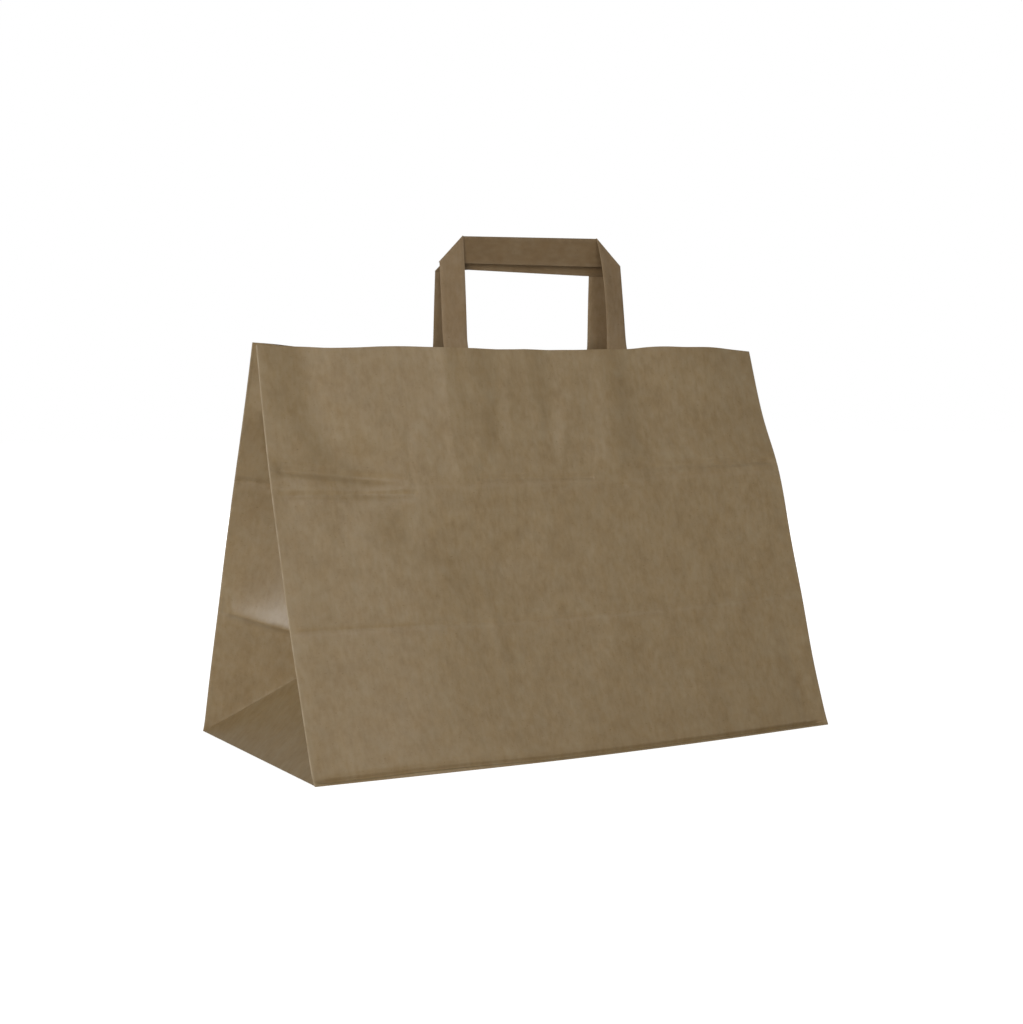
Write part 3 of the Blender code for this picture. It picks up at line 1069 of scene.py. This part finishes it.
    def _fold_under(self, s: Array, t: Array, points: Array) -> Array:
        """Lays the flaps and tucks below the bottom fold flat under the bag."""
        on_front = (s >= self.front_low) & (s <= self.front_high)
        on_back = (s <= self.back_low) | (s >= self.back_high)
        low = (s > self.back_low) & (s < self.front_low)
        high = (s > self.front_high) & (s < self.back_high)
        least, back_lift, tuck_lift = self.lifts
        lift = np.full(len(s), least)
        lift[(s < self.back_low) | (s > self.back_high)] = back_lift
        for start in self.starts:
            lift[(s >= start) & (s <= start + SIZES.depth)] = tuck_lift
        fade = np.clip(2 - t / self.lift_fades, 0, 1)
        points[:, 2] += np.where(t < self.lift_fades, lift, least + (lift - least) * fade)
        under = t < -1e-4
        flap = SIZES.half_depth + SIZES.flap_lap / 2
        reach = -t / self.flap_rows[-1]
        taper = 1 - reach * (flap / SIZES.half_width)
        for held, way in ((under & on_front, 1.0), (under & on_back, -1.0)):
            points[held, 1] += way * reach[held] * flap
            points[held, 0] *= taper[held]
        for held, way in ((under & low, 1.0), (under & high, -1.0)):
            points[held, 0] += way * reach[held] * SIZES.tuck
        return points


def run_length(points: Array) -> Array:
    """The length along a row of points, up to each of them."""
    return np.concatenate([[0], np.cumsum(np.linalg.norm(np.diff(points, axis=0), axis=1))])


@dataclass(frozen=True)
class Leg:
    """One leg of a handle: its edges at the mouth and at its fold, and how far it stands off."""

    fold_inner: Pair
    fold_outer: Pair
    mouth_inner: float
    mouth_outer: float
    inner_lift: Curve
    outer_lift: Curve

    @property
    def edges(self) -> tuple[tuple[float, Pair, Curve], ...]:
        """For each edge, its x at the mouth, its end at the fold, and its lift."""
        return (
            (self.mouth_inner, self.fold_inner, self.inner_lift),
            (self.mouth_outer, self.fold_outer, self.outer_lift),
        )


@dataclass
class PaperHandle(Part):
    """A flat strip of several plies, folded down at both corners with its legs outside its bar."""

    kind = "handle"
    slot = "handle_kraft"
    WIDTH = 17.0
    STEPS = 6
    MOUTH_HEIGHT = 236.5

    side: Side
    panel: Panel
    low_leg: Leg
    high_leg: Leg
    bar_bottom: Pair
    top_y: float
    strip: float = 0.42
    ply_gap: float = 0.10
    pasted_rows: tuple[float, ...] = (43.0, 36.0, 29.0, 22.0, 16.0, 11.0, 7.0, 4.0, 1.5, 0.0)
    levels: int = 14
    bar_steps: int = 18
    fold_steps: int = 6
    bend: float = 3.0
    bend_in: float = 0.3
    edge_round: float = 0.10
    # painted highlight along the strip's long edges: its strength and width
    edge_highlight: float = 0.7
    edge_highlight_width: float = 0.8

    def _leg_y(self, x: float, z: float) -> float:
        """y of a leg's middle above the mouth."""
        mouth = self._against_panel(np.array([x]), 0.0)[0]
        height = max(z - mouth[2], 0.0)
        top = max(self.low_leg.fold_inner[1], self.high_leg.fold_inner[1])
        inward = self.bend_in * self.bend * (1 - math.exp(-height / self.bend))
        start = mouth[1] - self.side.value * inward
        share = min(height / (top - mouth[2]), 1.0)
        return start + (self.top_y - start) * share

    def _pasted_rung(self, leg: Leg, below: float) -> Rung:
        """The leg's two edges inside the bag, at a distance down from the mouth."""
        pair = []
        for mouth_x, (fold_x, fold_z), _ in leg.edges:
            slope = (mouth_x - fold_x) / (fold_z - self.MOUTH_HEIGHT)
            pair.append(self._against_panel(np.array([mouth_x + slope * below]), below)[0])
        return pair[0], pair[1]

    def _against_panel(self, x: Array, below: float) -> Array:
        """Points of the strip's middle where it is pasted, at a distance down from the mouth."""
        off = np.full(x.shape, -(SIZES.paper / 2 + self.ply_gap + self.strip / 2))
        return self.panel.place(x, np.full(x.shape, SIZES.height - below), off)

    def _leg_rungs(self, leg: Leg) -> list[Rung]:
        """Rungs of a leg from its pasted end up to its fold."""
        rungs = [self._pasted_rung(leg, below) for below in self.pasted_rows]
        mouth = rungs[-1]
        for step in range(1, self.levels + 1):
            share = step / self.levels
            pair = []
            for start, (_, (fold_x, fold_z), lift) in zip(mouth, leg.edges):
                z = start[2] + (fold_z - start[2]) * share
                x = start[0] + (fold_x - start[0]) * share
                y = self._leg_y(x, z) + self.side.value * float(lift.at(z))
                pair.append(np.array([x, y, z]))
            rungs.append((pair[0], pair[1]))
        return rungs

    def _fold_rungs(self, leg: Leg, last: Rung) -> list[Rung]:
        """Rungs round a diagonal fold, from the leg to the bar behind it."""
        across = np.array(leg.fold_outer) - np.array(leg.fold_inner)
        across /= np.linalg.norm(across)
        out = np.array([across[1], -across[0]])
        out *= np.sign(out[1])
        radius = (self.strip + self.ply_gap) / 2
        rungs = []
        for step in range(1, self.fold_steps + 1):
            turn = math.pi * step / self.fold_steps
            shift = radius * np.array([out[0] * math.sin(turn), 0.0, out[1] * math.sin(turn)])
            shift[1] = -self.side.value * radius * (1 - math.cos(turn))
            rungs.append((last[0] + shift, last[1] + shift))
        return rungs

    def _rungs(self) -> list[Rung]:
        """Pairs of points on the strip's two edges, from one pasted end to the other."""
        low, high = (self._leg_rungs(leg) for leg in (self.low_leg, self.high_leg))
        low += self._fold_rungs(self.low_leg, low[-1])
        high += self._fold_rungs(self.high_leg, high[-1])
        start_top, end_top = low[-1][0], high[-1][0]
        bar = []
        for step in range(self.bar_steps + 1):
            share = step / self.bar_steps
            top = start_top + (end_top - start_top) * share
            bottom = top.copy()
            bottom[2] = self.bar_bottom[0] + (self.bar_bottom[1] - self.bar_bottom[0]) * share
            bar.append((top, bottom))
        return low + bar[1:-1] + high[::-1]

    def _bar_shade_rungs(self, number: Array, count: int) -> Array:
        """Which rungs get the painted shade of the bar: those past its two folds, where the strip's
        other face shows.
        """
        first = len(self.pasted_rows) + self.levels + self.fold_steps // 2
        from_end = np.minimum(number, count - 1 - number)
        return (from_end >= first).astype(float)

    def build(self) -> Piece:
        """Makes the strip flat, folds it and gives it its thickness."""
        rungs = self._rungs()
        faces = (len(rungs) - 1, self.STEPS)
        strip = flat_grid(self.node + "_strip", faces, faces)
        bpy.ops.object.mode_set(mode="OBJECT")
        flat = points_of(strip)
        number = np.rint(flat[:, 0]).astype(int)
        share = flat[:, 1] / self.STEPS
        inner, outer = (np.array([rung[edge] for rung in rungs]) for edge in (0, 1))
        along = run_length(inner)[number] * (1 - share) + run_length(outer)[number] * share
        across = share * self.WIDTH * MM + self.side.value
        add_flat_map(strip, np.stack([across, along * MM], -1))
        # painted highlight along the strip's long edges
        near_edge = np.minimum(share, 1 - share) * self.WIDTH / self.edge_highlight_width
        add_tone(strip, "crease", self.edge_highlight * np.exp(-(near_edge**2)))
        # marks the bar's rungs for the painted shade of the bar
        add_tone(strip, "bar_shade", self._bar_shade_rungs(number, len(rungs)))
        points = inner[number] * (1 - share)[:, None] + outer[number] * share[:, None]
        from_end = np.minimum(number, len(rungs) - 1 - number)
        for row, below in enumerate(self.pasted_rows):
            held = from_end == row
            points[held] = self._against_panel(points[held, 0], below)
        set_points(strip, points)
        thicken(strip, self.strip)
        face_outward(strip)
        limits = {"limit_method": "ANGLE", "angle_limit": math.radians(60)}
        apply_modifier(strip, "BEVEL", width=self.edge_round * MM, segments=2, **limits)
        smooth_faces(strip, 40.0)
        return strip


@dataclass
class LegPatch(Part):
    """The sheet that is pasted over a handle's legs inside the mouth."""

    kind = "patch"
    slot = "patch_kraft"
    MAP_SHIFT = 400.0  # keeps the two patches apart on the flat map

    side: Side
    panel: Panel
    legs: tuple[Leg, Leg]
    low: float
    high: float
    tall: float = 47.0
    below: float = 2.0
    glue: float = 0.25
    over_leg: float = 1.20
    margin: float = 4.0
    leg_room: float = 1.5
    faces: tuple[int, int] = (84, 16)

    def build(self) -> Piece:
        """Makes the patch, which follows the panel and rises over each leg."""
        size = (self.high - self.low, self.tall)
        patch = flat_grid(self.node + "_sheet", size, self.faces)
        bpy.ops.object.mode_set(mode="OBJECT")
        flat = points_of(patch)
        x = flat[:, 0] + self.low
        t = flat[:, 1] + SIZES.height - self.below - self.tall
        add_flat_map(patch, np.stack([x, t + self.MAP_SHIFT * self.side.value], -1) * MM)
        add_tone(patch, "crease", np.zeros(len(x)))
        inwards = np.full(len(x), SIZES.paper + self.glue)
        for leg in self.legs:
            middle = (leg.mouth_inner + leg.mouth_outer) / 2
            half = abs(leg.mouth_outer - leg.mouth_inner) / 2 + self.leg_room
            beside = (np.abs(x - middle) - half) / self.margin
            inwards += (self.over_leg - SIZES.paper - self.glue) * (1 - smooth_step(beside))
        set_points(patch, self.panel.place(x, t, -inwards))
        thicken(patch, SIZES.paper)
        face_outward(patch)
        smooth_faces(patch, 32.0)
        return patch


# --- The studio ---


def set_up(name: str, data: bpy.types.ID, place: Triple, turn: Quaternion) -> Piece:
    """Adds a lamp or a camera to the scene, at its place and rotated."""
    made = bpy.data.objects.new(name, data)
    bpy.context.scene.collection.objects.link(made)
    made.location = place
    made.rotation_mode = "QUATERNION"
    made.rotation_quaternion = turn
    return made


@dataclass(frozen=True)
class SoftLight:
    """A square light panel."""

    name: str
    place: Triple
    aim: Triple
    size: float
    power: float

    def build(self) -> None:
        """Adds the light, facing its aim."""
        data = bpy.data.lights.new(self.name, "AREA")
        data.shape = "SQUARE"
        data.size = self.size
        data.energy = self.power
        aim = Vector(self.aim) - Vector(self.place)
        set_up(self.name, data, self.place, aim.to_track_quat("-Z", "Y"))


@dataclass
class Studio:
    """Floor, lights, background and camera."""

    camera_place: Triple = (-0.5279, -0.9138, 0.2056)
    turn: float = 29.77
    tilt: float = 3.81
    roll: float = 0.05
    lens: float = 60.0
    floor_size: float = 14.0
    floor_gap: float = 0.0002
    world: float = 0.29
    lights: tuple[SoftLight, ...] = (
        SoftLight("left panel", (-1.66, -1.39, 0.51), (0.0, 0.0, 0.13), 0.9, 23.4),
        SoftLight("sheen panel", (0.30, -1.71, 1.48), (0.0, 0.0, 0.13), 0.9, 4.2),
        SoftLight("back panel", (0.75, 1.90, 0.75), (0.0, 0.0, 0.13), 0.9, 12.0),
    )

    def build(self) -> None:
        """Sets the whole studio."""
        self._floor()
        for light in self.lights:
            light.build()
        self._world()
        self._camera()
        view = bpy.context.scene.view_settings
        view.view_transform = "Standard"
        view.look = "None"

    def _floor(self) -> None:
        """A plain pale floor under the bag."""
        deselect_all()
        bpy.ops.mesh.primitive_plane_add(size=self.floor_size, location=(0.0, 0.0, -self.floor_gap))
        floor = added("studio_floor")
        floor.data.materials.append(PlainFinish("studio white", (0.86, 0.86, 0.86), 0.80).build())
        floor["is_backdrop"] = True

    def _world(self) -> None:
        """Even light from all round, against a white background."""
        world = bpy.data.worlds.new("studio")
        bpy.context.scene.world = world
        world.use_nodes = True
        wire = Wiring(world.node_tree)
        background = world.node_tree.nodes["Background"]
        seen = wire.node("ShaderNodeLightPath").outputs["Is Camera Ray"]
        share = wire.math("MULTIPLY", seen, 1.0 - self.world)
        glow = wire.math("ADD", share, self.world)
        wire.feed_all(background, {"Color": (1.0, 1.0, 1.0, 1.0), "Strength": glow})

    def _camera(self) -> None:
        """The camera at the photograph's place."""
        data = bpy.data.cameras.new("camera")
        data.lens = self.lens
        data.sensor_width = 36.0
        turn = Matrix.Rotation(math.radians(-self.turn), 3, "Z")
        tilt = Matrix.Rotation(math.radians(90 - self.tilt), 3, "X")
        roll = Matrix.Rotation(math.radians(-self.roll), 3, "Z")
        way = (turn @ tilt @ roll).to_quaternion()
        bpy.context.scene.camera = set_up("camera", data, self.camera_place, way)


# --- Building ---


def front_panel() -> Panel:
    """The front panel, from the stations of its edges."""
    return Panel(
        Side.FRONT,
        Curve(
            ((0, -85), (43, -69.5), (85, -54.5), (127, -41), (170, -27.8), (212, -17), (250, -8.6))
        ),
        Curve(
            ((0, -85), (42, -71.5), (85, -60), (119, -49.8), (170, -34.8), (206, -18.8))
            + ((250, -3.5),)
        ),
        Curve(
            ((-175, -8.6), (-145, -8.2), (-110, -7), (-60, -5.4), (0, -5), (60, -5.2), (84, -6.5))
            + ((105, -8.6), (135, -8.6), (158, -6), (175, -3.5))
        ),
        Curve(((-175, 1.8), (-60, 1.8), (60, 1.4), (175, 0.6))),
        Curve(((-175, 0.0), (-100, 4.5), (-20, 8.0), (60, 7.5), (175, 2.2))),
        Curve(
            ((-175, 1.2), (-160, 0.6), (-145, 0.0), (-130, 0.4), (-113, -0.3), (-97, -1.4))
            + ((-85, -1.8), (-56, -1.6), (0, -2.2), (80, -3.1), (90, -3.8), (104, -3.7))
            + ((118, -3.0), (140, -2.8), (160, -2.0), (175, -1.6))
        ),
        FRONT_RELIEF,
    )


def back_panel() -> Panel:
    """The back panel, from the stations of its edges."""
    return Panel(
        Side.BACK,
        Curve(((0, 86.5), (41, 73.5), (85, 58.3), (127, 44), (170, 28), (213, 11.5), (250, -2.6))),
        Curve(((0, 85), (42, 71.5), (85, 58), (127, 44), (170, 28), (212, 13), (250, 2.5))),
        Curve(((-175, -2.6), (-120, 2.5), (-60, 4), (60, 4), (120, 4), (175, 2.5))),
        Curve(((-175, 1.0), (175, 0.5))),
        Curve(((-175, 0.8), (0, 2.0), (175, 0.0))),
        Curve(((-175, -4.4), (-160, -3.0), (-145, -1.2), (-130, 0.2), (-90, 1.4), (175, 1.4))),
        (Buckles(0.6, 55.0, 9.1), Ridge(((-176, 170), (176, 170)), 0.5, 4.5)),
    )


def flat_lift(height: float) -> Curve:
    """The lift of a leg's edge that stays almost flat."""
    return Curve(((236, 0.0), (262, height), (306, 0.0)))


def front_legs() -> tuple[Leg, Leg]:
    """The front handle's legs."""
    low = Leg((-40.0, 302.8), (-57.0, 286.4), -40.8, -57.3, flat_lift(0.4), flat_lift(0.2))
    lift = Curve(((236, 0.4), (250, 2.8), (270, 4.2), (288, 3.6), (300, 1.8), (306, 0.0)))
    high = Leg((54.8, 305.5), (72.2, 288.5), 59.6, 75.6, lift, flat_lift(0.2))
    return low, high


def rear_legs() -> tuple[Leg, Leg]:
    """The rear handle's legs."""
    low = Leg((-39.3, 298.4), (-56.3, 281.4), -40.8, -57.8, flat_lift(0.4), flat_lift(0.4))
    high = Leg((52.8, 299.6), (69.8, 282.6), 51.7, 68.7, flat_lift(0.4), flat_lift(0.4))
    return low, high


def build_bag() -> None:
    """Makes and dresses every piece of the bag."""
    grain, highlight_and_wear = fibre_group(), highlight_and_wear_group()
    # each finish's second colour is its painted highlight along creases, folds and edges, partly
    # wear
    body_finish = KraftFinish("bag kraft", KRAFT, (0.52, 0.43, 0.32), highlight_and_wear=0.75)
    strip_finish = KraftFinish(
        "handle kraft",
        (0.245, 0.165, 0.085),
        (0.36, 0.28, 0.19),
        highlight_and_wear=0.25,
        roughness=0.7,
        # painted shade on the bar: its colour is multiplied by this, darker and warmer
        bar_shade=(0.74, 0.70, 0.61),
    )
    patch_finish = KraftFinish("patch kraft", KRAFT, (0.42, 0.33, 0.22))
    front, back = front_panel(), back_panel()
    front_pair, rear_pair = front_legs(), rear_legs()
    groups = (
        (body_finish, (BagBody(front, back),)),
        (
            strip_finish,
            (
                PaperHandle(Side.FRONT, front, *front_pair, (286.6, 287.9), -2.6),
                PaperHandle(Side.BACK, back, *rear_pair, (283.2, 282.2), 1.9),
            ),
        ),
        (
            patch_finish,
            (
                LegPatch(Side.FRONT, front, front_pair, -76.7, 91.3),
                LegPatch(Side.BACK, back, rear_pair, -77.0, 91.0),
            ),
        ),
    )
    for finish, parts in groups:
        paper = finish.build(grain, highlight_and_wear)
        for part in parts:
            piece = part.build()
            part.dress(piece, paper)
            log.info("%s: %d faces", piece.name, len(piece.data.polygons))


def write_sizes() -> None:
    """Works out the solids' box and the visible model's box."""
    boxes = {"cad": CAD_BOX, "scene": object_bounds()}
    boxes = {name: [list(corner) for corner in box] for name, box in boxes.items()}


def main() -> None:
    """Builds the bag and the studio."""
    logging.basicConfig(level=logging.INFO, format="%(name)s: %(message)s")
    build_bag()
    Studio().build()
    write_sizes()


if __name__ == "__main__":
    main()
